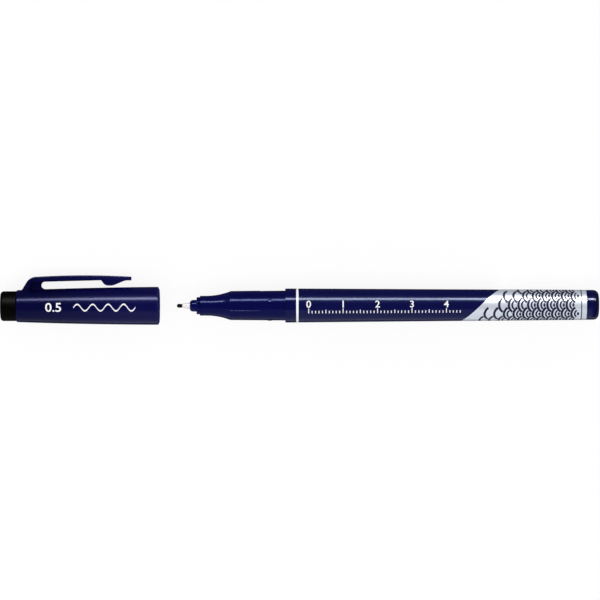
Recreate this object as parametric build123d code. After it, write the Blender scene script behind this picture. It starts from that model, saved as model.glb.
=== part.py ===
from build123d import *
import math
import os

# Fineliner pen with its cap drawn off the nib, lying on a table. Millimetres, +Z up.
# X runs along the pen's axis from the cap to the tail. The origin is on that axis at the front face
# of the collar, where the mouth of the seated cap stops.

# Gaps between pieces that fit each other, on the radius or between two faces
press_gap = 0.02
snap_gap = 0.04
seal_gap = 0.05
film_gap = 0.12
end_gap = 0.30

# Nib, its sheath and the holder that carries them
nib_rod_radius = 0.42
nib_rod_entry = 5.0
point_radius = 0.57
point_length = 1.62
sheath_front_wall = 0.18
sheath_wall = 0.51
sheath_length = 2.20
sheath_entry = 5.5
dome_wall = 0.74
dome_length = 1.95
dome_rounding = 0.65
flange_step = 0.56
flange_length = 0.95
flange_chamfer = 0.15
stem_wall = 0.97
stem_length = 5.2
vent_count = 4
vent_width = 0.55
vent_depth = 0.30

# Grip section: nose, concave flare, grip land, collar and the spigot inside the barrel
nose_wall = 0.93
nose_length = 1.80
nose_chamfer = 0.20
flare_length = 7.40
grip_wall = 0.67
grip_length = 15.70
grip_taper = 0.17
funnel_length = 5.0
collar_length = 3.06
spigot_wall = 0.63
spigot_length = 9.0
spigot_chamfer = 0.30
nub_count = 3
nub_turn = 66
nub_setback = 4.75
nub_height = 0.12
nub_radius = 0.90
nub_straight = 0.55
rib_turn = 108
rib_length = 8.2
rib_height = 0.07
rib_width = 0.40

# Ink store and its film
store_radius = 3.30
store_setback = 1.20
film_wall = 0.10

# Trim ring, barrel and tail plug
ring_length = 0.80
barrel_front_wall = 0.79
barrel_rear_wall = 0.83
barrel_length = 83.85
barrel_chamfer = 0.10
plug_spigot_length = 6.5
plug_spigot_wall = 0.80
plug_web_wall = 0.80
tail_length = 3.60
tail_rounding = 1.95
tail_floor = 1.30

# Cap: shell with snap groove, inner cap, eraser
cap_gap = 4.95
cap_wall = 1.02
cap_front_taper = 0.275
cap_waist_share = 0.5
cap_lip_chamfer = 0.20
cap_lead_in = 0.15
bore_allowance = 0.80
cone_length = 3.0
groove_depth = 0.10
groove_length = 1.9
inner_cap_wall = 0.60
inner_cap_floor = 0.80
inner_cap_room = 1.30
seal_lead = 1.0
seal_flare = 0.30
crown_wall = 1.10
crown_web = 3.10
crown_chamfer = 0.35
eraser_step = 0.31
eraser_length = 4.75
eraser_chamfer = 0.55
eraser_stem_radius = 2.90
eraser_stem_length = 5.0

# Clip, moulded in one with the cap shell
clip_setback = 1.70
clip_length = 31.80
clip_root_width = 4.30
clip_tip_width = 3.60
clip_tip_corner = 0.90
clip_edge = 0.60
clip_gap = 2.18
clip_root_wall = 1.42
clip_front_wall = 1.50
clip_tip_wall = 1.08
clip_root_fall = 0.58
clip_tip_fall = 0.48
clip_crest_share = 0.57
clip_crest_bend = 40.0
clip_slope = 2.30
clip_foot_wall = 1.85
clip_shoulder = 2.60
clip_bend = 3.0
clip_web_width = 2.20
clip_embed = 0.75
window_setback = 6.65
window_radius = 1.05
bead_setback = 5.20
bead_length = 2.70
bead_drop = 1.57
bead_ramp = 3.40
bead_rise = 0.80
bead_ramp_bend = 2.0
bead_toe_bend = 3.0
bead_heel_bend = 1.2

# One overrun for every tool that cuts through a face
overrun = 1.0

# Radii, built outwards from the nib and from the ink store
rod_bore = nib_rod_radius + press_gap
sheath_front_radius = rod_bore + sheath_front_wall
sheath_radius = rod_bore + sheath_wall
holder_bore = sheath_radius + press_gap
dome_radius = holder_bore + dome_wall
stem_radius = holder_bore + stem_wall
flange_radius = stem_radius + flange_step
stem_bore = stem_radius + press_gap
nose_radius = stem_bore + nose_wall
film_radius = store_radius + film_wall
ink_bore = film_radius + film_gap
grip_front_radius = ink_bore + grip_wall
grip_rear_radius = grip_front_radius + grip_taper
spigot_radius = ink_bore + spigot_wall
socket_radius = spigot_radius + press_gap
collar_radius = socket_radius + barrel_front_wall
tail_radius = ink_bore + barrel_rear_wall
plug_spigot_radius = ink_bore - press_gap
cap_bore = grip_rear_radius + nub_height + snap_gap
mouth_radius = cap_bore + cap_wall
inner_cap_bore = nose_radius + seal_gap
inner_cap_radius = inner_cap_bore + inner_cap_wall
seat_radius = inner_cap_radius + press_gap
crown_radius = seat_radius + crown_wall
eraser_radius = crown_radius - eraser_step
eraser_socket_radius = eraser_stem_radius + press_gap

# Stations along the pen, from the collar's front face at zero
flare_x = -grip_length - flare_length
nose_x = flare_x - nose_length
flange_x = nose_x - flange_length
dome_x = flange_x - dome_length
sheath_x = dome_x - sheath_length
point_x = sheath_x - point_length
store_front_x = -grip_length + store_setback
funnel_x = store_front_x - funnel_length
ring_x = collar_length
barrel_x = ring_x + ring_length
spigot_end_x = barrel_x + spigot_length
tail_x = barrel_x + barrel_length
tail_end_x = tail_x + tail_length
plug_front_x = tail_x - plug_spigot_length
store_rear_x = plug_front_x - end_gap

# Depths in the cap, from its mouth towards its crown
bore_depth = grip_length + bore_allowance
seat_depth = bore_depth + cone_length
lip_depth = grip_length + flare_length - seal_lead
cup_depth = inner_cap_room - point_x
inner_cap_depth = cup_depth + inner_cap_floor
socket_depth = inner_cap_depth + crown_web
cap_length = socket_depth + eraser_stem_length
waist_depth = cap_waist_share * cap_length
waist_radius = mouth_radius - cap_front_taper
mouth_x = point_x - cap_gap


def cap_radius(depth):
    """Outer radius of the cap at a depth. It tapers slowly to the waist and faster from there."""
    if depth < waist_depth:
        return mouth_radius + depth / waist_depth * (waist_radius - mouth_radius)
    return waist_radius + (depth - waist_depth) / (cap_length - waist_depth) * (crown_radius - waist_radius)


# Stations of the clip, as depths from the cap's mouth and heights over the axis
root_depth = cap_length - clip_setback
tip_depth = root_depth - clip_length
crest_depth = root_depth - clip_crest_share * clip_length
toe_depth = tip_depth + bead_setback
heel_depth = toe_depth + bead_length
arm_depth = heel_depth + bead_rise
window_depth = root_depth - window_setback
shoulder_depth = root_depth - clip_slope
under_front = cap_radius(arm_depth) + clip_gap
crest_height = under_front + clip_front_wall
shoulder_height = crest_height - clip_root_fall
under_root = shoulder_height - clip_root_wall
tip_height = crest_height - clip_tip_fall
root_height = cap_radius(root_depth)
embed_height = root_height - clip_embed

# The pen lies on the rim of the cap's mouth and on one edge of the clip. The lie angle is how far
# the clip points below the horizontal then.
clip_crest_width = clip_root_width + clip_crest_share * (clip_tip_width - clip_root_width)
lie_reach = crest_height - clip_edge
lie_side = clip_crest_width / 2 - clip_edge
lie_sine = (mouth_radius - clip_edge) / math.hypot(lie_reach, lie_side)
lie_angle = math.degrees(math.asin(lie_sine) - math.atan2(lie_side, lie_reach))


def at(x, height):
    """Point in the plane through the axis and the clip."""
    return (x, 0, height)


def in_cap(depth, height):
    """The same for a point given by its depth in the cap at rest."""
    return at(mouth_x - depth, height)


def turned(*edges):
    """Solid turned about the pen's axis from the closed half section that the edges draw."""
    return revolve(make_face(edges), Axis.X)


def slab(face, width):
    """Solid of an even width from a face in the plane through the axis and the clip."""
    return extrude(face, width / 2, dir=(0, 1, 0), both=True)


def on_grip(setback, height):
    """Place on the clip's side of the grip land, at a height over it, with X along its slope."""
    slope = grip_taper / grip_length
    level = grip_rear_radius - slope * setback + height
    return Pos(-setback, 0, level) * Rot(Y=-math.degrees(math.atan(slope)))


def laid(solid):
    """Turns a piece from clip upwards to the way that the pen lies on the table."""
    return Rot(X=-90 - lie_angle) * solid


def nib():
    front = Polyline(at(point_x, 0), at(store_front_x + nib_rod_entry, 0))
    rod = Polyline(
        front @ 1,
        at(store_front_x + nib_rod_entry, nib_rod_radius),
        at(sheath_x, nib_rod_radius),
        at(sheath_x, point_radius),
        at(point_x + point_radius, point_radius),
    )
    point = TangentArc(rod @ 1, front @ 0, tangent=(-1, 0, 0))
    return turned(front, rod, point)


def nib_sheath():
    return turned(
        Polyline(
            at(sheath_x, rod_bore),
            at(sheath_x, sheath_front_radius),
            at(dome_x, sheath_radius),
            at(dome_x + sheath_entry, sheath_radius),
            at(dome_x + sheath_entry, rod_bore),
            close=True,
        )
    )


def nib_holder():
    stem_end_x = nose_x + stem_length
    body = turned(
        FilletPolyline(
            at(dome_x, holder_bore),
            at(dome_x, dome_radius),
            at(flange_x, dome_radius),
            radius=[dome_rounding],
        ),
        Polyline(
            at(flange_x, dome_radius),
            at(flange_x, flange_radius - flange_chamfer),
            at(flange_x + flange_chamfer, flange_radius),
            at(nose_x, flange_radius),
            at(nose_x, stem_radius),
            at(stem_end_x, stem_radius),
            at(stem_end_x, rod_bore),
            at(dome_x + sheath_entry, rod_bore),
            at(dome_x + sheath_entry, holder_bore),
            at(dome_x, holder_bore),
        ),
    )
    vent = Box(
        flange_length + stem_length + 2 * overrun,
        vent_width,
        flange_step + vent_depth + overrun,
        align=(Align.MIN, Align.CENTER, Align.MIN),
    )
    vent = Pos(flange_x, 0, stem_radius - vent_depth) * vent
    for index in range(vent_count):
        body -= Rot(X=(index + 0.5) * 360 / vent_count) * vent
    return body


def snap_nub():
    """Round-ended bar that is sunk in the grip land until only its back stands proud."""
    front = CenterArc((-nub_straight / 2, 0), nub_radius, 90, 90)
    rear = CenterArc((nub_straight / 2, 0), nub_radius, 0, 90)
    section = make_face([front, rear, Line(front @ 0, rear @ 1), Line(front @ 1, rear @ 0)])
    return revolve(section, Axis.X)


def grip_section():
    nose = Polyline(
        at(nose_x, stem_bore),
        at(nose_x, nose_radius - nose_chamfer),
        at(nose_x + nose_chamfer, nose_radius),
        at(flare_x, nose_radius),
    )
    flare = TangentArc(nose @ 1, at(-grip_length, grip_front_radius), tangent=(1, 0, 0))
    rear = Polyline(
        flare @ 1,
        at(0, grip_rear_radius),
        at(0, collar_radius),
        at(collar_length, collar_radius),
        at(collar_length, spigot_radius),
        at(spigot_end_x - spigot_chamfer, spigot_radius),
        at(spigot_end_x, spigot_radius - spigot_chamfer),
        at(spigot_end_x, ink_bore),
        at(store_front_x, ink_bore),
        at(funnel_x, stem_bore),
        nose @ 0,
    )
    body = turned(nose, flare, rear)
    nub = on_grip(nub_setback, nub_height - nub_radius) * snap_nub()
    nub -= Rot(Y=90) * Cylinder(ink_bore + grip_wall / 2, 2 * grip_length)
    rib = Box(rib_length, rib_width, grip_wall / 2 + rib_height, align=(Align.MIN, Align.CENTER, Align.MIN))
    rib = on_grip(grip_length, -grip_wall / 2) * rib
    for index in range(nub_count):
        step = index * 360 / nub_count
        body += Rot(X=nub_turn + step) * nub
        body += Rot(X=rib_turn + step) * rib
    return body


def ink_reservoir():
    return turned(
        Polyline(
            at(store_front_x, rod_bore),
            at(store_front_x, store_radius),
            at(store_rear_x, store_radius),
            at(store_rear_x, 0),
            at(store_front_x + nib_rod_entry, 0),
            at(store_front_x + nib_rod_entry, rod_bore),
            close=True,
        )
    )


def reservoir_film():
    return turned(
        Polyline(
            at(store_front_x, store_radius),
            at(store_front_x, film_radius),
            at(store_rear_x, film_radius),
            at(store_rear_x, store_radius),
            close=True,
        )
    )


def trim_ring():
    return turned(
        Polyline(
            at(ring_x, socket_radius),
            at(ring_x, collar_radius),
            at(barrel_x, collar_radius),
            at(barrel_x, socket_radius),
            close=True,
        )
    )


def barrel():
    socket_end_x = spigot_end_x + end_gap
    return turned(
        Polyline(
            at(barrel_x, socket_radius),
            at(barrel_x, collar_radius),
            at(tail_x - barrel_chamfer, tail_radius),
            at(tail_x, tail_radius - barrel_chamfer),
            at(tail_x, ink_bore),
            at(socket_end_x, ink_bore),
            at(socket_end_x, socket_radius),
            close=True,
        )
    )


def tail_plug():
    hollow_radius = plug_spigot_radius - plug_spigot_wall
    floor_x = tail_end_x - tail_floor
    outside = FilletPolyline(
        at(tail_x, tail_radius),
        at(tail_end_x, tail_radius),
        at(tail_end_x, 0),
        radius=[tail_rounding],
    )
    inside = Polyline(
        outside @ 1,
        at(floor_x, 0),
        at(floor_x, hollow_radius),
        at(plug_front_x, hollow_radius),
        at(plug_front_x, plug_spigot_radius),
        at(tail_x, plug_spigot_radius),
        outside @ 0,
    )
    body = turned(outside, inside)
    web = Box(
        floor_x - plug_front_x,
        plug_web_wall,
        2 * hollow_radius + plug_spigot_wall,
        align=(Align.MIN, Align.CENTER, Align.CENTER),
    )
    web = Pos(plug_front_x, 0, 0) * web
    return body + web + Rot(X=90) * web


def under_height(depth):
    """Height of the clip arm's underside, which runs straight from the bead to the root."""
    span = root_depth - clip_shoulder - arm_depth
    return under_front + (depth - arm_depth) / span * (under_root - under_front)


def clip_plan():
    """Block that gives the clip its taper and its rounded tip, seen from above."""
    foot_x = mouth_x - cap_length
    tip_x = mouth_x - tip_depth
    sides = FilletPolyline(
        (foot_x, clip_root_width / 2),
        (tip_x, clip_tip_width / 2),
        (tip_x, -clip_tip_width / 2),
        (foot_x, -clip_root_width / 2),
        radius=[clip_tip_corner, clip_tip_corner],
    )
    face = make_face([sides, Line(sides @ 1, sides @ 0)])
    return extrude(face, crest_height + overrun, dir=(0, 0, 1))


def clip_strap():
    """The clip's bent strap: sloping foot, arched arm, and the bead that grips a pocket's edge."""
    tip_under = tip_height - clip_tip_wall
    bead_height = under_front - bead_drop
    foot_run = clip_slope * clip_embed / (shoulder_height - root_height)
    arch = FilletPolyline(
        in_cap(shoulder_depth, shoulder_height),
        in_cap(crest_depth, crest_height),
        in_cap(tip_depth, tip_height),
        radius=[clip_crest_bend],
    )
    under = FilletPolyline(
        arch @ 1,
        in_cap(tip_depth, tip_under),
        in_cap(toe_depth - bead_ramp, tip_under),
        in_cap(toe_depth, bead_height),
        in_cap(heel_depth, bead_height),
        in_cap(arm_depth, under_front),
        in_cap(root_depth - clip_shoulder, under_root),
        in_cap(root_depth - clip_foot_wall, embed_height),
        in_cap(root_depth + foot_run, embed_height),
        arch @ 0,
        radius=[0, bead_ramp_bend, bead_toe_bend, bead_heel_bend, 0, 0, 0, 0],
    )
    face = make_face([arch, under])
    face = fillet(face.vertices().sort_by_distance(arch @ 0)[0], clip_bend)
    strap = slab(face, clip_root_width) & clip_plan()
    tops = [side for side in strap.faces() if side.normal_at().Z > 0 and side.center().Z > under_root]
    rims = ShapeList(edge for side in tops for edge in side.edges())
    seams = [rim for rim in rims if sum(rim.is_same(other) for other in rims) > 1]
    rims = [rim for rim in rims if rim not in seams and rim.center().Z > root_height]
    return fillet(rims, clip_edge)


def clip_web():
    """Thin gusset under the clip's shoulder, whose round edge ends the open window."""
    top = under_height(window_depth)
    sunk = clip_root_wall / 2
    edge = ThreePointArc(
        in_cap(window_depth, top),
        in_cap(window_depth + window_radius, top - window_radius),
        in_cap(window_depth, top - 2 * window_radius),
    )
    sides = Polyline(
        edge @ 1,
        in_cap(window_depth, embed_height),
        in_cap(root_depth - clip_foot_wall + sunk, embed_height),
        in_cap(root_depth - clip_shoulder + sunk, under_root),
        in_cap(root_depth - clip_shoulder, under_root + sunk),
        in_cap(window_depth, top + sunk),
        edge @ 0,
    )
    return slab(make_face([edge, sides]), clip_web_width)


def cap_shell():
    crown_depth = cap_length - crown_chamfer
    half_groove = groove_length / 2
    shell = turned(
        Polyline(
            in_cap(0, cap_bore + cap_lead_in),
            in_cap(0, mouth_radius - cap_lip_chamfer),
            in_cap(cap_lip_chamfer, cap_radius(cap_lip_chamfer)),
            in_cap(waist_depth, waist_radius),
            in_cap(crown_depth, cap_radius(crown_depth)),
            in_cap(cap_length, crown_radius - crown_chamfer),
            in_cap(cap_length, eraser_socket_radius),
            in_cap(socket_depth, eraser_socket_radius),
            in_cap(socket_depth, 0),
            in_cap(inner_cap_depth, 0),
            in_cap(inner_cap_depth, seat_radius),
            in_cap(seat_depth, seat_radius),
            in_cap(bore_depth, cap_bore),
            in_cap(nub_setback + half_groove, cap_bore),
            in_cap(nub_setback + half_groove - groove_depth, cap_bore + groove_depth),
            in_cap(nub_setback - half_groove + groove_depth, cap_bore + groove_depth),
            in_cap(nub_setback - half_groove, cap_bore),
            in_cap(cap_lead_in, cap_bore),
            close=True,
        )
    )
    return shell + clip_strap() + clip_web()


def inner_cap():
    return turned(
        Polyline(
            in_cap(lip_depth, inner_cap_bore + seal_flare),
            in_cap(lip_depth + seal_lead, inner_cap_bore),
            in_cap(cup_depth, inner_cap_bore),
            in_cap(cup_depth, 0),
            in_cap(inner_cap_depth, 0),
            in_cap(inner_cap_depth, inner_cap_radius),
            in_cap(lip_depth, inner_cap_radius),
            close=True,
        )
    )


def eraser():
    end_depth = cap_length + eraser_length
    return turned(
        Polyline(
            in_cap(end_depth, 0),
            in_cap(end_depth, eraser_radius - eraser_chamfer),
            in_cap(end_depth - eraser_chamfer, eraser_radius),
            in_cap(cap_length, eraser_radius),
            in_cap(cap_length, eraser_stem_radius),
            in_cap(socket_depth, eraser_stem_radius),
            in_cap(socket_depth, 0),
            close=True,
        )
    )


pieces = {
    "nib": nib,
    "nib_sheath": nib_sheath,
    "nib_holder": nib_holder,
    "grip_section": grip_section,
    "ink_reservoir": ink_reservoir,
    "reservoir_film": reservoir_film,
    "trim_ring": trim_ring,
    "barrel": barrel,
    "tail_plug": tail_plug,
    "cap_shell": cap_shell,
    "inner_cap": inner_cap,
    "eraser": eraser,
}

os.makedirs("parts", exist_ok=True)
for name, make in pieces.items():
    export_step(laid(make()), f"parts/{name}.step")
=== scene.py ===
import bpy
import math
from mathutils import Euler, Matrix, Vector


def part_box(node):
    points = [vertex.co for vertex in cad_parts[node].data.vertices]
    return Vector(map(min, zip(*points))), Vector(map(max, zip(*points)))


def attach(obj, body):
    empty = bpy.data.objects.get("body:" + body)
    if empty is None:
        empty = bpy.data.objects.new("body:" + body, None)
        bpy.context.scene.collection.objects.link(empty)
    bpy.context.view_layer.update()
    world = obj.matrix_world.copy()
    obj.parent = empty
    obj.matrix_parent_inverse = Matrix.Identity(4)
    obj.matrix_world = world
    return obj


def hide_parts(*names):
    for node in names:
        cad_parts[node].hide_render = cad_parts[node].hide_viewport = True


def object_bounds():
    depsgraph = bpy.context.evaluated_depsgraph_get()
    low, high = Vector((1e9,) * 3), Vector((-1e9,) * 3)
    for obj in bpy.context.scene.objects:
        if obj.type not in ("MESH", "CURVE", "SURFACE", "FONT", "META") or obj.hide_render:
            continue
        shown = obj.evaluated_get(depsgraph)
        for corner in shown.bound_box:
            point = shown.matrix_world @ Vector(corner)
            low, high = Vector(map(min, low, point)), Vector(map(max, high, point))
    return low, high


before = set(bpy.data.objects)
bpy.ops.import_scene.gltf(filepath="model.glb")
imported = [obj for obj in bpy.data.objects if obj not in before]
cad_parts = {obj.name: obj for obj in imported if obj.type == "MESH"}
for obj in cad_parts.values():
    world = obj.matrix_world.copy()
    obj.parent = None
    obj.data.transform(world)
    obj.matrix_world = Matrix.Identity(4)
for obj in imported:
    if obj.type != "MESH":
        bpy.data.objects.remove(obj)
cad_low, cad_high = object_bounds()

# Ink store
# A rod of bundled polyester fibre in a wrap of clear film, pushed onto the nib's rod inside the barrel.
# Nothing of it shows, so the solids of the frame stay and only get their finish.


class Shade:
    """One output of a material's nodes, on which Python's operators add Math nodes."""

    def __init__(self, tree, socket=None):
        self.tree = tree
        self.socket = socket

    def fill(self, made, inputs):
        """Sets sockets of a node, each to a plain value or to the output that feeds it."""
        for name, value in inputs.items():
            if isinstance(value, Shade):
                self.tree.links.new(value.socket, made.inputs[name])
            else:
                made.inputs[name].default_value = value

    def node(self, kind, settings, inputs, output=0):
        """Adds a node of a kind: its settings first, then the values or links of its sockets."""
        made = self.tree.nodes.new("ShaderNode" + kind)
        for name, value in settings.items():
            setattr(made, name, value)
        self.fill(made, inputs)
        return Shade(self.tree, made.outputs[output])

    def maths(self, operation, first, second):
        return self.node("Math", {"operation": operation}, {0: first, 1: second})

    def __add__(self, other):
        return self.maths("ADD", self, other)

    def __radd__(self, other):
        return self.maths("ADD", other, self)

    def __mul__(self, other):
        return self.maths("MULTIPLY", self, other)

    def __rmul__(self, other):
        return self.maths("MULTIPLY", other, self)

    def ramp(self, start, full):
        """0 at the start, 1 where it is full, and straight between them."""
        return self.node("MapRange", {}, {"Value": self, "From Min": start, "From Max": full})

    def between(self, first, second):
        """The colour this share of the way from the first to the second."""
        return self.node("Mix", {"data_type": "RGBA"}, {0: self, 6: first, 7: second}, 2)

    def noise(self, stretch, detail=2.0):
        """Noise on the piece's own coordinates, with that many waves to the metre along X, Y and Z."""
        place = self.node("TexCoord", {}, {}, "Object")
        place = self.node("Mapping", {}, {"Vector": place, "Scale": stretch})
        return self.node("TexNoise", {}, {"Vector": place, "Scale": 1.0, "Detail": detail})

    def bump(self, height):
        """Normals of a surface whose dents and rises are self, at that height in metres."""
        return self.node("Bump", {}, {"Height": self, "Distance": height, "Strength": 1.0}, "Normal")

    def surface(self, inputs):
        """Sets inputs of the material's surface."""
        self.fill(self.tree.nodes["Principled BSDF"], inputs)


def blank_finish(name):
    """A new material, and the start of the expressions for its nodes."""
    made = bpy.data.materials.new(name)
    made.use_nodes = True
    return made, Shade(made.node_tree)


def ink_fibre():
    """Strands along the pen, soaked with dark blue ink."""
    made, shade = blank_finish("ink_fibre")
    strands = shade.noise((150, 9000, 9000))
    soaked = (0.008, 0.008, 0.05, 1)
    drier = (0.03, 0.03, 0.13, 1)
    shade.surface({
        "Base Color": strands.ramp(0.35, 0.65).between(soaked, drier),
        "Roughness": 0.75 + 0.2 * strands,
        "Normal": strands.bump(height=0.00002),
    })
    return made


def clear_film():
    """Glossy film with faint creases along the rod."""
    made, shade = blank_finish("clear_film")
    creases = shade.noise((80, 600, 600), detail=4.0)
    grey = (0.62, 0.65, 0.70, 1)
    pale = (0.82, 0.84, 0.86, 1)
    shade.surface({
        "Base Color": creases.between(grey, pale),
        "Roughness": 0.08 + 0.2 * creases,
        "Normal": creases.bump(height=0.00001),
    })
    return made


for node, made in (("ink_reservoir", ink_fibre()), ("reservoir_film", clear_film())):
    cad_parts[node].material_slots[0].material = made

# Nib
# The writing point, a bullet of bonded fibre soaked with dark ink, with its feed rod behind.
# It is ground to a dome on a wheel and slides into the sheath from the front.


def span(node):
    """Front and rear of a round node along the pen, and its largest radius."""
    low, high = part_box(node)
    return low.x, high.x, (high.z - low.z) / 2


def select(piece, test):
    """Selects the corners of a piece whose place passes the test, and stays in edit mode."""
    bpy.ops.object.mode_set(mode="EDIT")
    bpy.ops.mesh.select_mode(type="VERT")
    bpy.ops.mesh.select_all(action="DESELECT")
    bpy.ops.object.mode_set(mode="OBJECT")
    for vertex in piece.data.vertices:
        vertex.select = test(vertex.co)
    bpy.ops.object.mode_set(mode="EDIT")


def let_go():
    """Leaves edit mode and deselects everything, so that the next operator acts on its own piece."""
    if bpy.context.mode != "OBJECT":
        bpy.ops.object.mode_set(mode="OBJECT")
    bpy.ops.object.select_all(action="DESELECT")


weld_distance = 0.000001


def draw(points, segments=6):
    """Starts a piece as a line of edges through points (x, height) or (x, height, rounding radius)."""
    let_go()
    bpy.ops.mesh.primitive_plane_add(size=1)
    piece = bpy.context.object
    bpy.ops.object.mode_set(mode="EDIT")
    bpy.ops.mesh.select_mode(type="VERT")
    bpy.ops.mesh.merge(type="CENTER")
    places = [Vector((point[0], 0, point[1])) for point in points]
    bpy.ops.transform.translate(value=places[0])
    for last, place in zip(places, places[1:]):
        bpy.ops.mesh.extrude_region_move(TRANSFORM_OT_translate={"value": place - last})
    for index, point in enumerate(points):
        if len(point) == 3:
            ahead = places[(index + 1) % len(places)] - places[index]
            behind = places[index] - places[index - 1]
            reach = point[2] * math.tan(ahead.angle(behind) / 2)
            select(piece, lambda place: (place - places[index]).length < weld_distance / 10)
            bpy.ops.mesh.bevel(affect="VERTICES", offset_type="OFFSET", offset=reach, segments=segments)
    return piece


def close_up():
    """Merges what meets in the piece that is being edited, and points its faces outwards."""
    bpy.ops.mesh.select_all(action="SELECT")
    bpy.ops.mesh.remove_doubles(threshold=weld_distance)
    bpy.ops.mesh.normals_make_consistent(inside=False)


def turned(points, sides=96):
    """A piece turned about the pen's axis from the line through its points."""
    piece = draw(points)
    bpy.ops.mesh.select_all(action="SELECT")
    bpy.ops.mesh.spin(steps=sides, angle=2 * math.pi, center=(0, 0, 0), axis=(1, 0, 0))
    close_up()
    return piece


crease_angle = math.radians(32)


def fit(piece, name, body, slot, made, *nodes):
    """Shades a finished piece, gives it its finish and fits it in the frame in place of its nodes."""
    let_go()
    piece.select_set(True)
    bpy.context.view_layer.objects.active = piece
    bpy.ops.object.shade_smooth_by_angle(angle=crease_angle)
    piece.name = name
    piece.data.name = name
    piece.data.materials.clear()
    piece.data.materials.append(made)
    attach(piece, body)
    if nodes:
        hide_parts(*nodes)


def fibre_point():
    """Ground fibre, nearly black with ink, and a little browner where it is drier."""
    made, shade = blank_finish("fibre_point")
    strands = shade.noise((900, 11000, 11000), detail=3.0)
    stain = shade.noise((1500, 1500, 1500))
    soaked = (0.001, 0.0007, 0.0002, 1)
    drier = (0.012, 0.009, 0.003, 1)
    shade.surface({
        "Base Color": (strands * stain).ramp(0.12, 0.42).between(soaked, drier),
        "Roughness": 0.55 + 0.3 * strands,
        "Normal": strands.bump(height=0.00003),
        "Specular IOR Level": 0.03,
    })
    return made


point_x, rod_end_x, point_radius = span("nib")
sheath_x, sheath_end_x, sheath_radius = span("nib_sheath")
point_length = 0.0010
point_dome = 0.98 * point_radius
neck_radius = 0.82 * point_radius
neck_rounding = 0.0016
rod_radius = 0.00042
nib = turned([
    (point_x, 0),
    (point_x, point_radius, point_dome),
    (point_x + point_length, point_radius, neck_rounding),
    (sheath_x, neck_radius),
    (sheath_x, rod_radius),
    (rod_end_x, rod_radius),
    (rod_end_x, 0),
], sides=64)
fit(nib, "nib_point", "pen", "nib_fibre", fibre_point(), "nib")

# Nib sheath
# A white tapered plastic sleeve, moulded round the nib so that the thin point doesn't bend.
# It is pressed into the holder up to its widest stretch.


def white_plastic(name, roughness, dull, bright):
    """Satin moulded white, clouded between two whites."""
    made, shade = blank_finish(name)
    cloud = shade.noise((400, 900, 900))
    shade.surface({
        "Base Color": cloud.ramp(0.3, 0.7).between(dull, bright),
        "Roughness": roughness + 0.1 * cloud,
        "Normal": cloud.bump(height=0.000004),
        "Specular IOR Level": 0.4,
    })
    return made


dome_x, stem_end_x, flange_radius = span("nib_holder")
rod_clearance = 0.00002
sheath_bore = rod_radius + rod_clearance
sheath_front_radius = 0.00062
sheath_front_rounding = 0.00008
sheath_taper_rounding = 0.002
sheath = turned([
    (sheath_x, sheath_bore),
    (sheath_x, sheath_front_radius, sheath_front_rounding),
    (dome_x, sheath_radius, sheath_taper_rounding),
    (sheath_end_x, sheath_radius),
    (sheath_end_x, sheath_bore),
    (sheath_x, sheath_bore),
], sides=64)
sheath_white = white_plastic(
    "sheath_white",
    roughness=0.3,
    dull=(0.76, 0.74, 0.76, 1),
    bright=(0.82, 0.79, 0.82, 1),
)
fit(sheath, "nib_sheath_sleeve", "pen", "white_plastic", sheath_white, "nib_sheath")

# Nib holder
# The rounded navy nose with a flange that butts on the grip section, moulded in one.
# Its stem is pressed into the section, and four slots along flange and stem let air into the barrel.


def along(shade):
    """Place along the pen, in metres."""
    return shade.node("SeparateXYZ", {}, {"Vector": shade.node("TexCoord", {}, {}, "Object")}, "X")


def navy_plastic(name, roughness, specular, tint, clearness=1.0, painted_fades=()):
    """Glossy moulded navy with faint flow streaks along the pen, orange peel and fine rub marks.

    Clearness multiplies the navy, for a plastic that lets more light through. Each fade is the place
    along the pen where another navy starts, the place where it is full, and that navy. The fades
    paint shade and light along the pen as darker or lighter navy.
    """
    made, shade = blank_finish(name)
    flow = shade.noise((50, 800, 800), detail=3.0)
    peel = shade.noise((1500, 1500, 1500))
    rubs = shade.noise((120, 9000, 9000)).ramp(0.62, 0.75)
    deep = (0.0013 * clearness, 0.0015 * clearness, 0.046 * clearness, 1)
    pale = (0.0021 * clearness, 0.0024 * clearness, 0.058 * clearness, 1)
    colour = flow.ramp(0.3, 0.7).between(deep, pale)
    for start_x, full_x, other in painted_fades:
        colour = along(shade).ramp(start_x, full_x).between(colour, other)
    shade.surface({
        "Base Color": colour,
        "Roughness": roughness + 0.03 * flow + 0.02 * rubs,
        "Normal": peel.bump(height=0.0000002),
        "Specular IOR Level": specular,
        "Specular Tint": tint,
    })
    return made


def block(size, middle):
    """Starts a piece as a block with its middle at a place, all of it selected in edit mode."""
    let_go()
    bpy.ops.mesh.primitive_cube_add(size=1)
    piece = bpy.context.object
    bpy.ops.object.mode_set(mode="EDIT")
    bpy.ops.transform.resize(value=size)
    bpy.ops.transform.translate(value=middle)
    return piece


def turn(angle):
    """Turns what is selected about the pen's axis, right-handed. The operator counts the other way."""
    bpy.ops.transform.rotate(value=-angle, orient_axis="X", center_override=(0, 0, 0))


def combine(piece, tool, operation):
    """Cuts a tool piece out of a piece, or joins the two into one, and deletes the tool."""
    let_go()
    bpy.context.view_layer.objects.active = piece
    piece.select_set(True)
    cut = piece.modifiers.new("cut", "BOOLEAN")
    cut.operation = operation
    cut.solver = "EXACT"
    cut.object = tool
    bpy.ops.object.modifier_apply(modifier=cut.name)
    bpy.data.objects.remove(tool)


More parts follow.
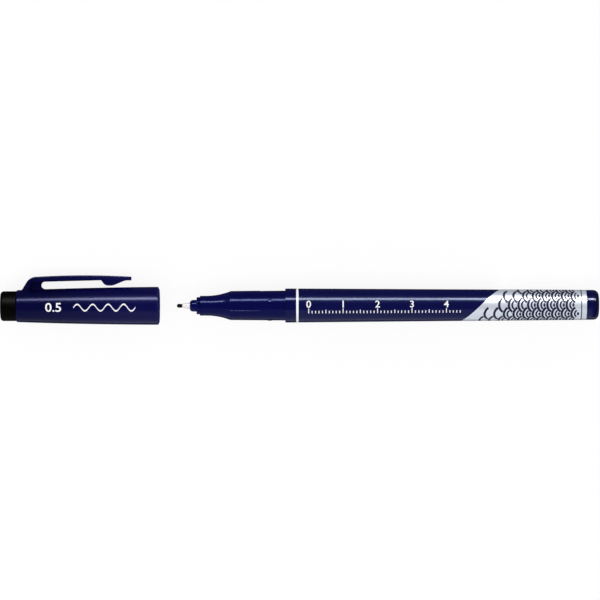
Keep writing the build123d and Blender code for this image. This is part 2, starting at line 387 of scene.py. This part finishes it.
section_x, spigot_end_x, collar_radius = span("grip_section")
dome_radius = 0.00171
dome_rounding = 0.00095
flange_length = 0.00095
flange_root_rounding = 0.00008
flange_front_rounding = 0.00015
flange_rear_rounding = 0.00006
flange_x = section_x - flange_length
stem_radius = 0.00194
holder = turned([
    (dome_x, sheath_radius),
    (dome_x, dome_radius, dome_rounding),
    (flange_x, dome_radius, flange_root_rounding),
    (flange_x, flange_radius, flange_front_rounding),
    (section_x, flange_radius, flange_rear_rounding),
    (section_x, stem_radius),
    (stem_end_x, stem_radius),
    (stem_end_x, sheath_bore),
    (sheath_end_x, sheath_bore),
    (sheath_end_x, sheath_radius),
    (dome_x, sheath_radius),
])
vent_count = 4
vent_width = 0.00055
vent_depth = 0.00030
vent_length = stem_end_x - flange_x + vent_width
vent_x = (flange_x + stem_end_x) / 2 + vent_width
vent_height = stem_radius - vent_depth + flange_radius / 2
for index in range(vent_count):
    vent = block((vent_length, vent_width, flange_radius), (vent_x, 0, vent_height))
    turn((index + 0.5) * 2 * math.pi / vent_count)
    combine(holder, vent, "DIFFERENCE")
holder_navy = navy_plastic(
    "holder_navy",
    roughness=0.17,
    specular=0.18,
    tint=(0.40, 0.50, 1.0, 1),
    clearness=1.25,
)
fit(holder, "nib_holder_nose", "pen", "navy_plastic", holder_navy, "nib_holder")

# Grip section
# The front housing that the fingers hold: nose, hollow flare, grip land with three snap nubs and
# three ribs for the cap, and the collar that the cap stops at. Moulded navy, pressed into the barrel.
ring_x, ring_end_x, ring_radius = span("trim_ring")
nose_radius = 0.00289
nose_length = 0.00180
nose_rounding = 0.00018
flare_length = 0.00705
flare_x = section_x + nose_length
land_x = flare_x + flare_length
land_front_radius = 0.00419
land_rear_radius = 0.00436
land_rounding = 0.0004
collar_front_rounding = 0.00012
collar_rear_rounding = 0.00005
ring_inset = 0.00012
collar_end_x = ring_x + ring_inset
spigot_radius = 0.00415
spigot_rounding = 0.0003
section_bore = 0.00196
ink_bore = 0.00352
funnel_x = land_x - 0.0038
store_x = land_x + 0.0012
flare_rise = land_front_radius - nose_radius
flare_bend = (flare_length ** 2 + flare_rise ** 2) / (2 * flare_rise)
flare_steps = 14
land_steps = 20


def on_flare(share):
    """Point of the flare's hollow arc, which leaves the nose in line with it."""
    angle = share * math.asin(flare_length / flare_bend)
    return flare_x + flare_bend * math.sin(angle), nose_radius + flare_bend * (1 - math.cos(angle))


def on_land(share):
    """Point of the grip land, from its front at 0 to the collar at 1."""
    return land_x * (1 - share), land_front_radius + share * (land_rear_radius - land_front_radius)


section = turned([
    (section_x, section_bore),
    (section_x, nose_radius, nose_rounding),
    *[on_flare(step / flare_steps) for step in range(flare_steps)],
    (land_x, land_front_radius, land_rounding),
    *[on_land(step / land_steps) for step in range(1, land_steps)],
    (0, land_rear_radius),
    (0, collar_radius, collar_front_rounding),
    (collar_end_x, collar_radius, collar_rear_rounding),
    (collar_end_x, spigot_radius),
    (spigot_end_x, spigot_radius, spigot_rounding),
    (spigot_end_x, ink_bore),
    (store_x, ink_bore),
    (funnel_x, section_bore),
    (section_x, section_bore),
], sides=128)
land_slope = math.atan((land_rear_radius - land_front_radius) / -land_x)
nub_setback = 0.00450
nub_height = 0.00020
nub_depth = 0.00060
nub_top_radius = 0.00035
nub_slope = math.radians(37)
nub_lean = math.radians(5)
nub_rounding = 0.00010
nub_straight = 0.00035


def snap_nub():
    """A low oval nub that the groove in the cap snaps over, on top of the grip land."""
    let_go()
    bpy.ops.mesh.primitive_cone_add(
        vertices=48,
        radius1=nub_top_radius + nub_depth / math.tan(nub_slope),
        radius2=nub_top_radius,
        depth=nub_depth,
    )
    piece = bpy.context.object
    select(piece, lambda place: place.z > 0)
    bpy.ops.mesh.bevel(affect="EDGES", offset=nub_rounding, segments=4)
    select(piece, lambda place: place.x > nub_rounding / 10)
    bpy.ops.transform.translate(value=(nub_straight, 0, 0))
    bpy.ops.mesh.select_all(action="SELECT")
    bpy.ops.transform.translate(value=(
        -nub_setback - nub_straight / 2,
        0,
        land_rear_radius - nub_setback * math.tan(land_slope) + nub_height - nub_depth / 2,
    ))
    bpy.ops.transform.rotate(value=nub_lean, orient_axis="X", center_override=(0, 0, land_rear_radius))
    return piece


rib_length = 0.0086
rib_width = 0.00045
rib_height = 0.00009
rib_depth = 0.0006
rib_chamfer = 0.00005


def guide_rib():
    """A thin rib that centres the cap, along the top of the grip land from its front."""
    piece = block((rib_length, rib_width, rib_depth), (rib_length / 2, 0, rib_height - rib_depth / 2))
    bpy.ops.mesh.bevel(affect="EDGES", offset=rib_chamfer, segments=1)
    bpy.ops.mesh.select_all(action="SELECT")
    bpy.ops.transform.rotate(value=land_slope, orient_axis="Y", center_override=(0, 0, 0))
    bpy.ops.transform.translate(value=(land_x, 0, land_front_radius))
    return piece


nub_count = 3
nub_turn = math.radians(72.5)
rib_turn = math.radians(113)
for index in range(nub_count):
    step_angle = index * 2 * math.pi / nub_count
    nub = snap_nub()
    turn(nub_turn + step_angle)
    combine(section, nub, "UNION")
    rib = guide_rib()
    turn(rib_turn + step_angle)
    combine(section, rib, "UNION")
lie_angle = math.radians(26.376)


def lay(piece):
    """Turns a piece from clip upwards to the way that the pen lies on the table."""
    select(piece, lambda place: True)
    turn(-math.pi / 2 - lie_angle)


def polish(made, weight, roughness, start_x, full_x):
    """A clear polish over a finish, which grows to its full weight between two places along the pen."""
    shade = Shade(made.node_tree)
    shade.surface({
        "Coat Weight": weight * along(shade).ramp(start_x, full_x),
        "Coat Roughness": roughness,
    })


lay(section)
grip_navy = navy_plastic("grip_navy", roughness=0.14, specular=0.175, tint=(0.44, 0.53, 1.0, 1))
polish(grip_navy, weight=0.17, roughness=0.14, start_x=-0.0001, full_x=0)
fit(section, "grip_housing", "pen", "navy_plastic", grip_navy, "grip_section")

# Trim ring
# A narrow ring of white plastic that sets the collar off from the barrel.
# It is moulded apart, slid over the section's spigot and trapped between collar and barrel.
ring_rounding = 0.00006
ring = turned([
    (collar_end_x, spigot_radius),
    (collar_end_x, ring_radius, ring_rounding),
    (ring_end_x, ring_radius, ring_rounding),
    (ring_end_x, spigot_radius),
    (collar_end_x, spigot_radius),
], sides=128)
ring_white = white_plastic(
    "ring_white",
    roughness=0.22,
    dull=(0.86, 0.86, 0.86, 1),
    bright=(0.92, 0.92, 0.94, 1),
)
fit(ring, "white_trim_ring", "pen", "white_plastic", ring_white, "trim_ring")

# Barrel
# The long navy tube, moulded with a slight taper to the tail, that holds the ink store.
# The grip section's spigot is pressed into its front and the tail plug into its rear.
barrel_x, tail_x, barrel_radius = span("barrel")
plug_x, plug_end_x, tail_radius = span("tail_plug")
barrel_front_rounding = 0.00006
barrel_rear_rounding = 0.00010
barrel = turned([
    (barrel_x, spigot_radius),
    (barrel_x, barrel_radius, barrel_front_rounding),
    (tail_x, tail_radius, barrel_rear_rounding),
    (tail_x, ink_bore),
    (spigot_end_x, ink_bore),
    (spigot_end_x, spigot_radius),
    (barrel_x, spigot_radius),
], sides=160)
barrel_navy = navy_plastic("barrel_navy", roughness=0.17, specular=0.3, tint=(0.66, 0.77, 1.0, 1))
fit(barrel, "barrel_tube", "pen", "navy_plastic", barrel_navy, "barrel")

# Silver foil
# A thin metallised film, hot-stamped round the rear of the barrel. Its front edge sweeps forwards
# from the top of the side that carries the print to the bottom.


def silver_foil():
    """Half-bright silver with a fine grain along the pen, between a metal and a pale lacquer."""
    made, shade = blank_finish("silver_foil")
    grain = shade.noise((300, 5000, 5000), detail=3.0)
    cloud = shade.noise((120, 400, 400))
    dull = (0.76, 0.82, 0.93, 1)
    bright = (0.82, 0.88, 0.98, 1)
    shade.surface({
        "Base Color": cloud.between(dull, bright),
        "Metallic": 0.50 + 0.1 * cloud,
        "Roughness": 0.265 + 0.10 * grain,
        "Normal": grain.bump(height=0.0000008),
        "Specular IOR Level": 0.3,
    })
    return made


foil_lift = 0.00002
foil_setback = 0.0001
foil_end_x = tail_x - foil_setback
foil_mid_x = 0.0568
foil_sweep = 0.0056
foil_bow = 0.17


def barrel_at(x):
    """Outer radius of the barrel at a place along it."""
    return barrel_radius + (x - barrel_x) / (tail_x - barrel_x) * (tail_radius - barrel_radius)


def foil_edge(rise):
    """Place of the foil's front edge along the pen, for a rise from -1 at the bottom to 1 at the top."""
    return foil_mid_x + foil_sweep * ((1 - foil_bow) * rise + foil_bow * rise ** 3)


foil = turned([
    (foil_mid_x, barrel_at(foil_mid_x)),
    (foil_mid_x, barrel_at(foil_mid_x) + foil_lift),
    (foil_end_x, barrel_at(foil_end_x) + foil_lift),
    (foil_end_x, barrel_at(foil_end_x)),
    (foil_mid_x, barrel_at(foil_mid_x)),
], sides=160)
bpy.ops.object.mode_set(mode="OBJECT")
for vertex in foil.data.vertices:
    x, y, z = vertex.co
    if x < foil_mid_x + foil_lift:
        radius = math.hypot(y, z)
        swept_x = foil_edge((y * math.cos(lie_angle) - z * math.sin(lie_angle)) / radius)
        narrowing = 1 + (barrel_at(swept_x) - barrel_at(x)) / radius
        vertex.co = (swept_x, y * narrowing, z * narrowing)
fit(foil, "silver_foil_sleeve", "pen", "silver_foil", silver_foil())

# Wave print
# Rows of navy wave scales, a traditional pattern, printed on the foil. They start behind the foil's
# front edge with single arcs and grow fuller towards the tail, where a fine line ends them.


def navy_ink():
    """Printed navy, a little uneven where the ink has spread."""
    made, shade = blank_finish("navy_ink")
    spread = shade.noise((2500, 2500, 2500), detail=3.0)
    thick = (0.004, 0.004, 0.030, 1)
    thin = (0.010, 0.010, 0.055, 1)
    shade.surface({
        "Base Color": spread.ramp(0.3, 0.7).between(thick, thin),
        "Roughness": 0.35 + 0.15 * spread,
        "Specular IOR Level": 0.3,
    })
    return made


def extrude(move):
    """Extrudes all of the piece that is being edited."""
    bpy.ops.mesh.select_all(action="SELECT")
    bpy.ops.mesh.extrude_region_move(TRANSFORM_OT_translate={"value": move})


def copy_to(piece, x, z):
    """Another copy of flat artwork, with its own mesh, moved along the pen and round it."""
    let_go()
    piece.select_set(True)
    bpy.context.view_layer.objects.active = piece
    bpy.ops.object.duplicate()
    copy = bpy.context.object
    bpy.ops.object.mode_set(mode="EDIT")
    bpy.ops.mesh.select_all(action="SELECT")
    bpy.ops.transform.translate(value=(x, 0, z))
    let_go()
    return copy


def join(pieces):
    """Makes one piece of several."""
    let_go()
    for piece in pieces:
        piece.select_set(True)
    bpy.context.view_layer.objects.active = pieces[0]
    bpy.ops.object.join()
    return pieces[0]


ink_thickness = 0.00001
strip_height = 0.00037


def print_on(pieces, surface_at, roll_radius, lift):
    """Prints flat artwork, drawn in the plane of X and Z, on the side of the pen that faces the camera.

    It is joined, cut in strips that can follow the curve, given its thickness and rolled on.
    """
    piece = join(pieces)
    heights = [vertex.co.z for vertex in piece.data.vertices]
    first = math.ceil(min(heights) / strip_height)
    last = math.floor(max(heights) / strip_height)
    bpy.ops.object.mode_set(mode="EDIT")
    for step in range(first, last + 1):
        bpy.ops.mesh.select_all(action="SELECT")
        bpy.ops.mesh.bisect(plane_co=(0, 0, step * strip_height), plane_no=(0, 0, 1))
    extrude((0, -ink_thickness, 0))
    close_up()
    let_go()
    for vertex in piece.data.vertices:
        x, y, z = vertex.co
        angle = lie_angle + z / roll_radius
        radius = surface_at(x) + lift - y
        vertex.co = (x, radius * math.sin(angle), radius * math.cos(angle))
    return piece


wave_count = 5
wave_start = 0.0060
wave_end_x = 0.0858
wave_steps = 12
wave_growth = 0.0042
print_radius = barrel_at((foil_mid_x + foil_end_x) / 2)
wave_radius = math.pi * print_radius / wave_count
row_step = wave_radius / 2
first_row_x = wave_end_x - 0.1 * wave_radius
border_x = wave_end_x + 0.05 * wave_radius
border_width = 0.1 * wave_radius


def wave_band(inner, outer, gap):
    """One arc of a scale that bulges to the front, between two shares of the scale's radius.

    The gap is the angle in degrees from each end of the arc to the line of its row.
    """
    reach = math.radians(90 - gap)
    angles = [reach * (2 * step / wave_steps - 1) for step in range(wave_steps + 1)]
    radius = wave_radius * inner
    band = draw([(-radius * math.cos(angle), radius * math.sin(angle)) for angle in angles])
    bpy.ops.mesh.select_all(action="SELECT")
    bpy.ops.mesh.extrude_region_move()
    bpy.ops.transform.resize(value=(outer / inner, 1, outer / inner), center_override=(0, 0, 0))
    return band


bands = [
    wave_band(inner=0.74, outer=0.98, gap=33),
    wave_band(inner=0.42, outer=0.60, gap=36),
    wave_band(inner=0.06, outer=0.28, gap=32),
]
row_count = round((wave_end_x - foil_mid_x + foil_sweep) / row_step)
scales = []
for row in range(row_count):
    x = first_row_x - row * row_step
    for index in range(wave_count):
        z = wave_radius * (2 * index + row % 2 - wave_count)
        depth = x - wave_start - foil_edge(math.sin(z / print_radius))
        for order, band in enumerate(bands):
            if depth > order * wave_growth:
                scales.append(copy_to(band, x, z))
for band in bands:
    bpy.data.objects.remove(band)
border = draw([(border_x, -math.pi * print_radius), (border_x, math.pi * print_radius)])
extrude((border_width, 0, 0))
waves = print_on([border, *scales], barrel_at, print_radius, foil_lift)
fit(waves, "wave_print", "pen", "navy_plastic", navy_ink())

# Ruler print
# A short millimetre scale with plain figures along the barrel.
# It is screen-printed in white ink, on the same side of the pen as the print on the cap.


def white_ink():
    """Printed white, a little uneven where the ink has spread."""
    made, shade = blank_finish("white_ink")
    spread = shade.noise((2500, 2500, 2500), detail=3.0)
    thin = (0.80, 0.80, 0.82, 1)
    thick = (0.90, 0.90, 0.91, 1)
    shade.surface({
        "Base Color": spread.ramp(0.3, 0.7).between(thin, thick),
        "Roughness": 0.45 + 0.15 * spread,
        "Specular IOR Level": 0.3,
    })
    return made


def bar(x, z, length, height):
    """A rectangle of flat artwork from its lower left corner."""
    piece = draw([(x, z), (x + length, z)])
    extrude((0, 0, height))
    return piece


figure_boldness = 0.012
figure_resolution = 8


def figure(text, x, z, height):
    """Plain figures as flat artwork, centred on x and standing on z."""
    let_go()
    bpy.ops.object.text_add()
    piece = bpy.context.object
    piece.data.body = text
    piece.data.align_x = "CENTER"
    piece.data.offset = figure_boldness
    piece.data.resolution_u = figure_resolution
    bpy.ops.object.convert(target="MESH")
    scale = height / piece.dimensions.y
    bpy.ops.object.mode_set(mode="EDIT")
    bpy.ops.mesh.select_all(action="SELECT")
    bpy.ops.transform.resize(value=(scale, scale, 1), center_override=(0, 0, 0))
    turn(math.pi / 2)
    bpy.ops.transform.translate(value=(x, 0, z))
    return piece


ruler_x = 0.0068
ruler_length = 44
ruler_low = -0.0024
tick_width = 0.00025
tick_height = 0.0008
long_tick_heights = {0: 0.0015, 5: 0.0011}
figure_height = 0.0021
figure_gap = 0.0003
figure_low = ruler_low + long_tick_heights[0] + figure_gap
print_lift = 0.00001
marks = []
for millimetre in range(ruler_length + 1):
    x = ruler_x + millimetre / 1000
    height = long_tick_heights.get(millimetre % 10, tick_height)
    marks.append(bar(x - tick_width / 2, ruler_low, tick_width, height))
    if millimetre % 10 == 0:
        marks.append(figure(str(millimetre // 10), x, figure_low, figure_height))
ruler = print_on(marks, barrel_at, barrel_radius, print_lift)
fit(ruler, "ruler_print", "pen", "white_plastic", white_ink())

# Tail plug
# A navy cup with a well rounded edge, polished more than the rest, its navy darkened over the end as
# painted shade.
# Its spigot, stiffened by two crossed webs, is pressed into the barrel's end.
plug_wall = 0.00080
plug_floor = 0.00130
plug_rounding = 0.00160
plug_seam_rounding = 0.00008
web_recess = 0.00020
plug_bore = ink_bore - plug_wall
plug_floor_x = plug_end_x - plug_floor
plug = turned([
    (plug_floor_x, 0),
    (plug_floor_x, plug_bore),
    (plug_x, plug_bore),
    (plug_x, ink_bore),
    (tail_x, ink_bore),
    (tail_x, tail_radius, plug_seam_rounding),
    (plug_end_x, tail_radius, plug_rounding),
    (plug_end_x, 0),
], sides=128)
for angle in (0, math.pi / 2):
    cross = block(
        (plug_floor_x - plug_x, plug_wall, 2 * ink_bore - plug_wall),
        ((plug_x + plug_floor_x) / 2 + web_recess, 0, 0),
    )
    turn(angle)
    combine(plug, cross, "UNION")
# Painted shade: the navy darkens over the plug's rounded end.
end_painted_shade = (plug_end_x - 0.0020, plug_end_x - 0.0003, (0.0006, 0.0007, 0.016, 1))
plug_navy = navy_plastic(
    "plug_navy",
    roughness=0.13,
    specular=0.36,
    tint=(0.74, 0.77, 1.0, 1),
    painted_fades=[end_painted_shade],
)
fit(plug, "tail_plug_end", "pen", "navy_plastic", plug_navy, "tail_plug")

# Cap
# A tapered navy shell, moulded in one with its spring clip: a sloping foot, an arched arm with a bead
# under it that grips a pocket's edge, and a thin web under the shoulder that ends the open window.
cap_low, cap_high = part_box("cap_shell")
crown_x = cap_low.x
mouth_x = cap_high.x
cap_length = mouth_x - crown_x
mouth_radius = -cap_low.z
crown_radius = 0.00466
crown_rounding = 0.00045
cap_bulge = 0.000165
cap_steps = 10
lip_setback = 0.00012
lip_length = 0.00033
lip_height = 0.0007
lip_outer_rounding = 0.0003
lip_inner_rounding = 0.0002
cap_bore = 0.00452
groove_length = 0.0019
groove_depth = 0.0001
groove_front = nub_setback - groove_length / 2
groove_rear = nub_setback + groove_length / 2
bore_depth = 0.0165
seat_start_depth = 0.0195
seat_end_depth = 0.03372
seat_radius = 0.00356
socket_depth = 0.03682
eraser_socket = 0.00292


def on_cap(depth, height, *rounding):
    """Point of an outline of the cap or its clip, from its depth behind the mouth and its height."""
    return (mouth_x - depth, height, *rounding)


def cap_radius(depth):
    """Outer radius of the cap at a depth from its mouth: a straight taper and a slight bulge."""
    share = depth / cap_length
    return mouth_radius + share * (crown_radius - mouth_radius) + 4 * share * (1 - share) * cap_bulge


def on_side(share):
    """Point of the cap's outer side, from the mouth at 0 to the crown at 1."""
    return on_cap(cap_length * share, cap_radius(cap_length * share))


cap = turned([
    on_cap(socket_depth, 0),
    on_cap(socket_depth, eraser_socket),
    on_cap(cap_length, eraser_socket),
    on_cap(cap_length, crown_radius, crown_rounding),
    *[on_side(step / cap_steps) for step in range(cap_steps - 1, 0, -1)],
    on_cap(lip_setback + lip_length, cap_radius(lip_setback), lip_outer_rounding),
    on_cap(lip_setback, mouth_radius - lip_height, lip_inner_rounding),
    on_cap(lip_setback, cap_bore),
    on_cap(groove_front, cap_bore),
    on_cap(groove_front + groove_depth, cap_bore + groove_depth),
    on_cap(groove_rear - groove_depth, cap_bore + groove_depth),
    on_cap(groove_rear, cap_bore),
    on_cap(bore_depth, cap_bore),
    on_cap(seat_start_depth, seat_radius),
    on_cap(seat_end_depth, seat_radius),
    on_cap(seat_end_depth, 0),
], sides=160)


def plate(points, width):
    """A flat piece of an even width from its closed side outline in the plane through axis and clip."""
    piece = draw(points, segments=8)
    bpy.ops.mesh.select_all(action="SELECT")
    bpy.ops.mesh.remove_doubles(threshold=weld_distance)
    bpy.ops.mesh.edge_face_add()
    bpy.ops.transform.translate(value=(0, -width / 2, 0))
    extrude((0, width, 0))
    close_up()
    return piece


clip_root_width = 0.00407
clip_tip_width = 0.00337
clip_rim = 0.00035
root_depth = 0.04059
embed_height = 0.00396
foot_thickness = 0.00232
shoulder_depth = 0.03782
shoulder_height = 0.008416
shoulder_rounding = 0.003
arch_rise = 0.00047
arch_steps = 12
tip_depth = 0.00832
tip_height = 0.008516
tip_under_height = tip_height - 0.00108
bead_height = 0.005926
bead_start_depth = 0.01012
bead_front_depth = 0.01382
bead_rear_depth = 0.01592
bead_end_depth = 0.01702
bead_front_rounding = 0.003
bead_rear_rounding = 0.0016
bead_end_rounding = 0.0003
under_height = 0.007496
under_drop = 0.0005
under_end_depth = 0.03752
under_end_rounding = 0.0008


def on_arch(share):
    """Point on the back of the clip's arched arm, from the shoulder at 0 to the tip at 1."""
    height = shoulder_height + share * (tip_height - shoulder_height) + 4 * share * (1 - share) * arch_rise
    return on_cap(shoulder_depth + share * (tip_depth - shoulder_depth), height)


clip = plate([
    on_cap(root_depth, embed_height),
    on_cap(shoulder_depth, shoulder_height, shoulder_rounding),
    *[on_arch(step / arch_steps) for step in range(1, arch_steps + 1)],
    on_cap(tip_depth, tip_under_height),
    on_cap(bead_start_depth, tip_under_height, bead_front_rounding),
    on_cap(bead_front_depth, bead_height, bead_front_rounding),
    on_cap(bead_rear_depth, bead_height, bead_rear_rounding),
    on_cap(bead_end_depth, under_height, bead_end_rounding),
    on_cap(under_end_depth, under_height - under_drop, under_end_rounding),
    on_cap(root_depth - foot_thickness, embed_height),
    on_cap(root_depth, embed_height),
], clip_root_width)
taper = math.atan((clip_root_width - clip_tip_width) / 2 / (shoulder_depth - tip_depth))
for side in (-1, 1):
    select(clip, lambda place: place.y * side > 0)
    hub = (mouth_x - shoulder_depth, side * clip_root_width / 2, 0)
    bpy.ops.transform.rotate(value=side * taper, orient_axis="Z", center_override=hub)


arm_margin = 0.0004
foot_margin = 0.0006
tip_margin = 0.0001


def on_back(place):
    """Whether a corner of the clip is on its outer side: the back of the arm, the shoulder or the foot."""
    depth = mouth_x - place.x
    on_arm = place.z > under_height + arm_margin
    on_shoulder = depth > shoulder_depth and place.z > tip_under_height - arm_margin
    on_foot = depth > shoulder_depth + foot_margin
    return on_arm or on_shoulder or on_foot


def on_rim(first, last):
    """Whether both ends of an edge are on one flank of the clip, and on its outer side or at its tip."""
    one_flank = first.y * last.y > 0
    at_tip = max(mouth_x - first.x, mouth_x - last.x) < tip_depth + tip_margin
    return one_flank and (on_back(first) and on_back(last) or at_tip)


bpy.ops.object.mode_set(mode="EDIT")
bpy.ops.mesh.select_all(action="DESELECT")
bpy.ops.mesh.select_mode(type="EDGE")
bpy.ops.object.mode_set(mode="OBJECT")
for edge in clip.data.edges:
    edge.select = on_rim(*[clip.data.vertices[index].co for index in edge.vertices])
bpy.ops.object.mode_set(mode="EDIT")
bpy.ops.mesh.bevel(affect="EDGES", offset=clip_rim, segments=4)
close_up()

web_width = 0.0006
web_root_depth = root_depth - 0.0005
web_shoulder_depth = shoulder_depth - 0.0002
window_depth = 0.03347
window_radius = 0.00105
window_height = 0.006045
window_steps = 16


def on_window(share):
    """Point of the half circle that ends the window, from the arm at 0 to the shell at 1."""
    angle = math.pi * share
    depth = window_depth + window_radius * math.sin(angle)
    return on_cap(depth, window_height + window_radius * math.cos(angle))


web = plate([
    on_cap(web_root_depth, embed_height),
    on_cap(web_shoulder_depth, under_height),
    on_cap(window_depth, under_height),
    *[on_window(step / window_steps) for step in range(window_steps + 1)],
    on_cap(window_depth, embed_height),
    on_cap(web_root_depth, embed_height),
], web_width)
combine(clip, web, "UNION")
combine(cap, clip, "UNION")
lay(cap)
# Painted shade: the navy of the cap and its clip darkens towards the crown.
crown_painted_shade = (-0.0480, -0.0680, (0.0012, 0.0013, 0.031, 1))
# Painted light: a lighter navy on the mouth's lip, where it would catch the light.
lip_painted_light = (mouth_x - 0.00075, mouth_x - 0.00055, (0.0080, 0.0090, 0.105, 1))
cap_navy = navy_plastic(
    "cap_navy",
    roughness=0.20,
    specular=0.148,
    tint=(0.51, 0.55, 1.0, 1),
    painted_fades=[crown_painted_shade, lip_painted_light],
)
polish(cap_navy, weight=0.14, roughness=0.20, start_x=-0.0760, full_x=-0.0440)
fit(cap, "cap_with_clip", "cap", "navy_plastic", cap_navy, "cap_shell")

# Line sample
# The width of the drawn line in plain figures, with a wavy stroke beside it.
# Both are screen-printed in white ink on the cap, a quarter turn from the clip.
stroke_x = -0.0615
stroke_length = 0.0180
stroke_height = 0.0010
stroke_width = 0.00045
stroke_drop = 0.0005
stroke_waves = 4
stroke_steps = 96
width_x = -0.0673
width_low = -0.0018
width_height = 0.0029


def on_stroke(share):
    """Point of the wavy stroke's lower edge, from the end near the crown at 0 to the other at 1."""
    wave = stroke_height * math.sin(2 * math.pi * stroke_waves * share)
    return stroke_x + stroke_length * share, wave - stroke_width / 2 - stroke_drop


stroke = draw([on_stroke(step / stroke_steps) for step in range(stroke_steps + 1)])
extrude((0, 0, stroke_width))
width = figure("0.5", width_x, width_low, width_height)
sample = print_on([stroke, width], lambda x: cap_radius(mouth_x - x), mouth_radius, print_lift)
fit(sample, "line_sample_print", "cap", "white_plastic", white_ink())

# Inner cap
# A cup of unpigmented plastic that closes on the nose and keeps the nib moist.
# It is pressed into the cap's seat. The solid of the frame stays and only gets its finish.


def natural_plastic():
    """Milky plastic without pigment, faintly clouded."""
    made, shade = blank_finish("natural_plastic")
    cloud = shade.noise((500, 500, 500), detail=3.0)
    dull = (0.70, 0.70, 0.66, 1)
    bright = (0.82, 0.82, 0.79, 1)
    shade.surface({
        "Base Color": cloud.between(dull, bright),
        "Roughness": 0.35 + 0.15 * cloud,
        "Normal": cloud.bump(height=0.000003),
    })
    return made


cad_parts["inner_cap"].material_slots[0].material = natural_plastic()

# Eraser
# A stub of black rubber on the cap's crown, moulded with a rounded end and a stem that is pressed
# into the crown's socket.


def black_rubber():
    """Dull black rubber with dust in its grain and scuffs from use."""
    made, shade = blank_finish("black_rubber")
    dust = shade.noise((2600, 2600, 2600), detail=4.0)
    scuffs = shade.noise((500, 1800, 1800), detail=3.0)
    black = (0.0003, 0.0003, 0.0002, 1)
    scuffed = (0.0012, 0.0012, 0.0008, 1)
    shade.surface({
        "Base Color": scuffs.ramp(0.35, 0.75).between(black, scuffed),
        "Roughness": 0.34 + 0.16 * dust,
        "Normal": dust.bump(height=0.000006),
        "Specular IOR Level": 0.037,
    })
    return made


eraser_x, stem_x, eraser_radius = span("eraser")
eraser_setback = 0.00018
eraser_end_x = eraser_x + eraser_setback
eraser_end_rounding = 0.0009
eraser_seam_rounding = 0.0001
eraser = turned([
    (eraser_end_x, 0),
    (eraser_end_x, eraser_radius, eraser_end_rounding),
    (crown_x, eraser_radius, eraser_seam_rounding),
    (crown_x, eraser_socket),
    (stem_x, eraser_socket),
    (stem_x, 0),
], sides=128)
fit(eraser, "rubber_eraser", "cap", "black_rubber", black_rubber(), "eraser")

# Studio
# A pale floor with a dark flag that shows only in reflections, a long strip light behind the pen with
# a short one before it at the tail, a dim card in front and a soft light over all. The camera looks
# square at the side of the pen, from the height at which the clip shows in profile.
floor_size = 60
floor_glow = 0.88
let_go()
bpy.ops.mesh.primitive_plane_add(size=floor_size, location=(0, 0, cad_low.z))
floor = bpy.context.object
floor.name = "floor"
made, shade = blank_finish("floor_white")
shade.surface({"Base Color": (0.96, 0.96, 0.96, 1), "Roughness": 0.9, "Specular IOR Level": 0.0})
camera_ray, glossy_ray, clear_ray = [
    shade.node("LightPath", {}, {}, ray)
    for ray in ("Is Camera Ray", "Is Glossy Ray", "Is Transmission Ray")
]
seen = camera_ray + glossy_ray + clear_ray
paper = Shade(shade.tree, shade.tree.nodes["Principled BSDF"].outputs[0])
glow = shade.node("Emission", {}, {"Strength": 1.0})
shade.fill(shade.tree.nodes["Material Output"], {
    "Surface": shade.node("MixShader", {}, {0: seen * floor_glow, 1: paper, 2: glow}),
})
floor.data.materials.append(made)

flag_size = 0.5
flag_y = 0.20
flag_lift = 0.0001
bpy.ops.mesh.primitive_plane_add(size=flag_size, location=(0, flag_y, cad_low.z + flag_lift))
flag = bpy.context.object
flag.name = "black_flag"
made, shade = blank_finish("flag_black")
shade.surface({"Base Color": (0.08, 0.08, 0.08, 1), "Roughness": 1.0, "Specular IOR Level": 0.0})
flag.data.materials.append(made)
flag.visible_camera = False
flag.visible_diffuse = False
flag.visible_shadow = False
flag.visible_transmission = False


def panel(name, x, elevation, distance, length, height, radiance):
    """A soft lamp along the pen, at an elevation from the far horizon over the zenith, facing the pen."""
    place = Vector((0, math.cos(elevation), math.sin(elevation))) * distance
    bpy.ops.object.light_add(type="AREA", location=(x, place.y, place.z))
    lamp = bpy.context.object
    lamp.name = name
    lamp.data.shape = "RECTANGLE"
    lamp.data.size = length
    lamp.data.size_y = height
    lamp.data.energy = radiance * math.pi * length * height
    lamp.rotation_euler = place.to_track_quat("Z", "Y").to_euler()
    return lamp


strip_elevation = math.radians(18)
strip_light = panel(
    "strip_light",
    x=0.10,
    elevation=strip_elevation,
    distance=0.5,
    length=0.80,
    height=0.10,
    radiance=26.0,
)
tail_light = panel(
    "tail_light",
    x=0.137,
    elevation=strip_elevation,
    distance=0.48,
    length=0.084,
    height=0.096,
    radiance=18.0,
)
for lamp in (strip_light, tail_light):
    lamp.visible_diffuse = False
panel(
    "front_card",
    x=-0.43,
    elevation=math.radians(136.5),
    distance=0.6,
    length=1.2,
    height=1.06,
    radiance=0.60,
)
bpy.ops.object.light_add(type="SUN", location=(0, 0, 1))
sun = bpy.context.object
sun.name = "soft_light"
sun.data.angle = math.radians(120)
sun.data.energy = 2.75
sun.rotation_euler = (math.radians(-27), 0, 0)
sun.visible_glossy = False

world = bpy.data.worlds.new("studio")
bpy.context.scene.world = world
world.use_nodes = True
sky = Shade(world.node_tree)
sky.fill(world.node_tree.nodes["Background"], {"Color": (1, 1, 1, 1), "Strength": 0.10})

view_x = 0.004288
view_rise = 0.001604
view_distance = 1.069
sight = Vector((0, math.sin(lie_angle), math.cos(lie_angle)))
upward = Vector((0, math.cos(lie_angle), -math.sin(lie_angle)))
target = Vector((view_x, 0, 0)) + upward * view_rise
bpy.ops.object.camera_add(location=target + sight * view_distance)
camera = bpy.context.object
tilt = Euler((-lie_angle, 0, 0)).to_matrix()
roll = Euler((0, 0, math.radians(-0.13))).to_matrix()
camera.rotation_euler = (tilt @ roll).to_euler()
camera.data.lens = 220
camera.data.sensor_width = 36
camera.data.clip_start = 0.01
bpy.context.scene.camera = camera
bpy.context.scene.view_settings.view_transform = "Standard"
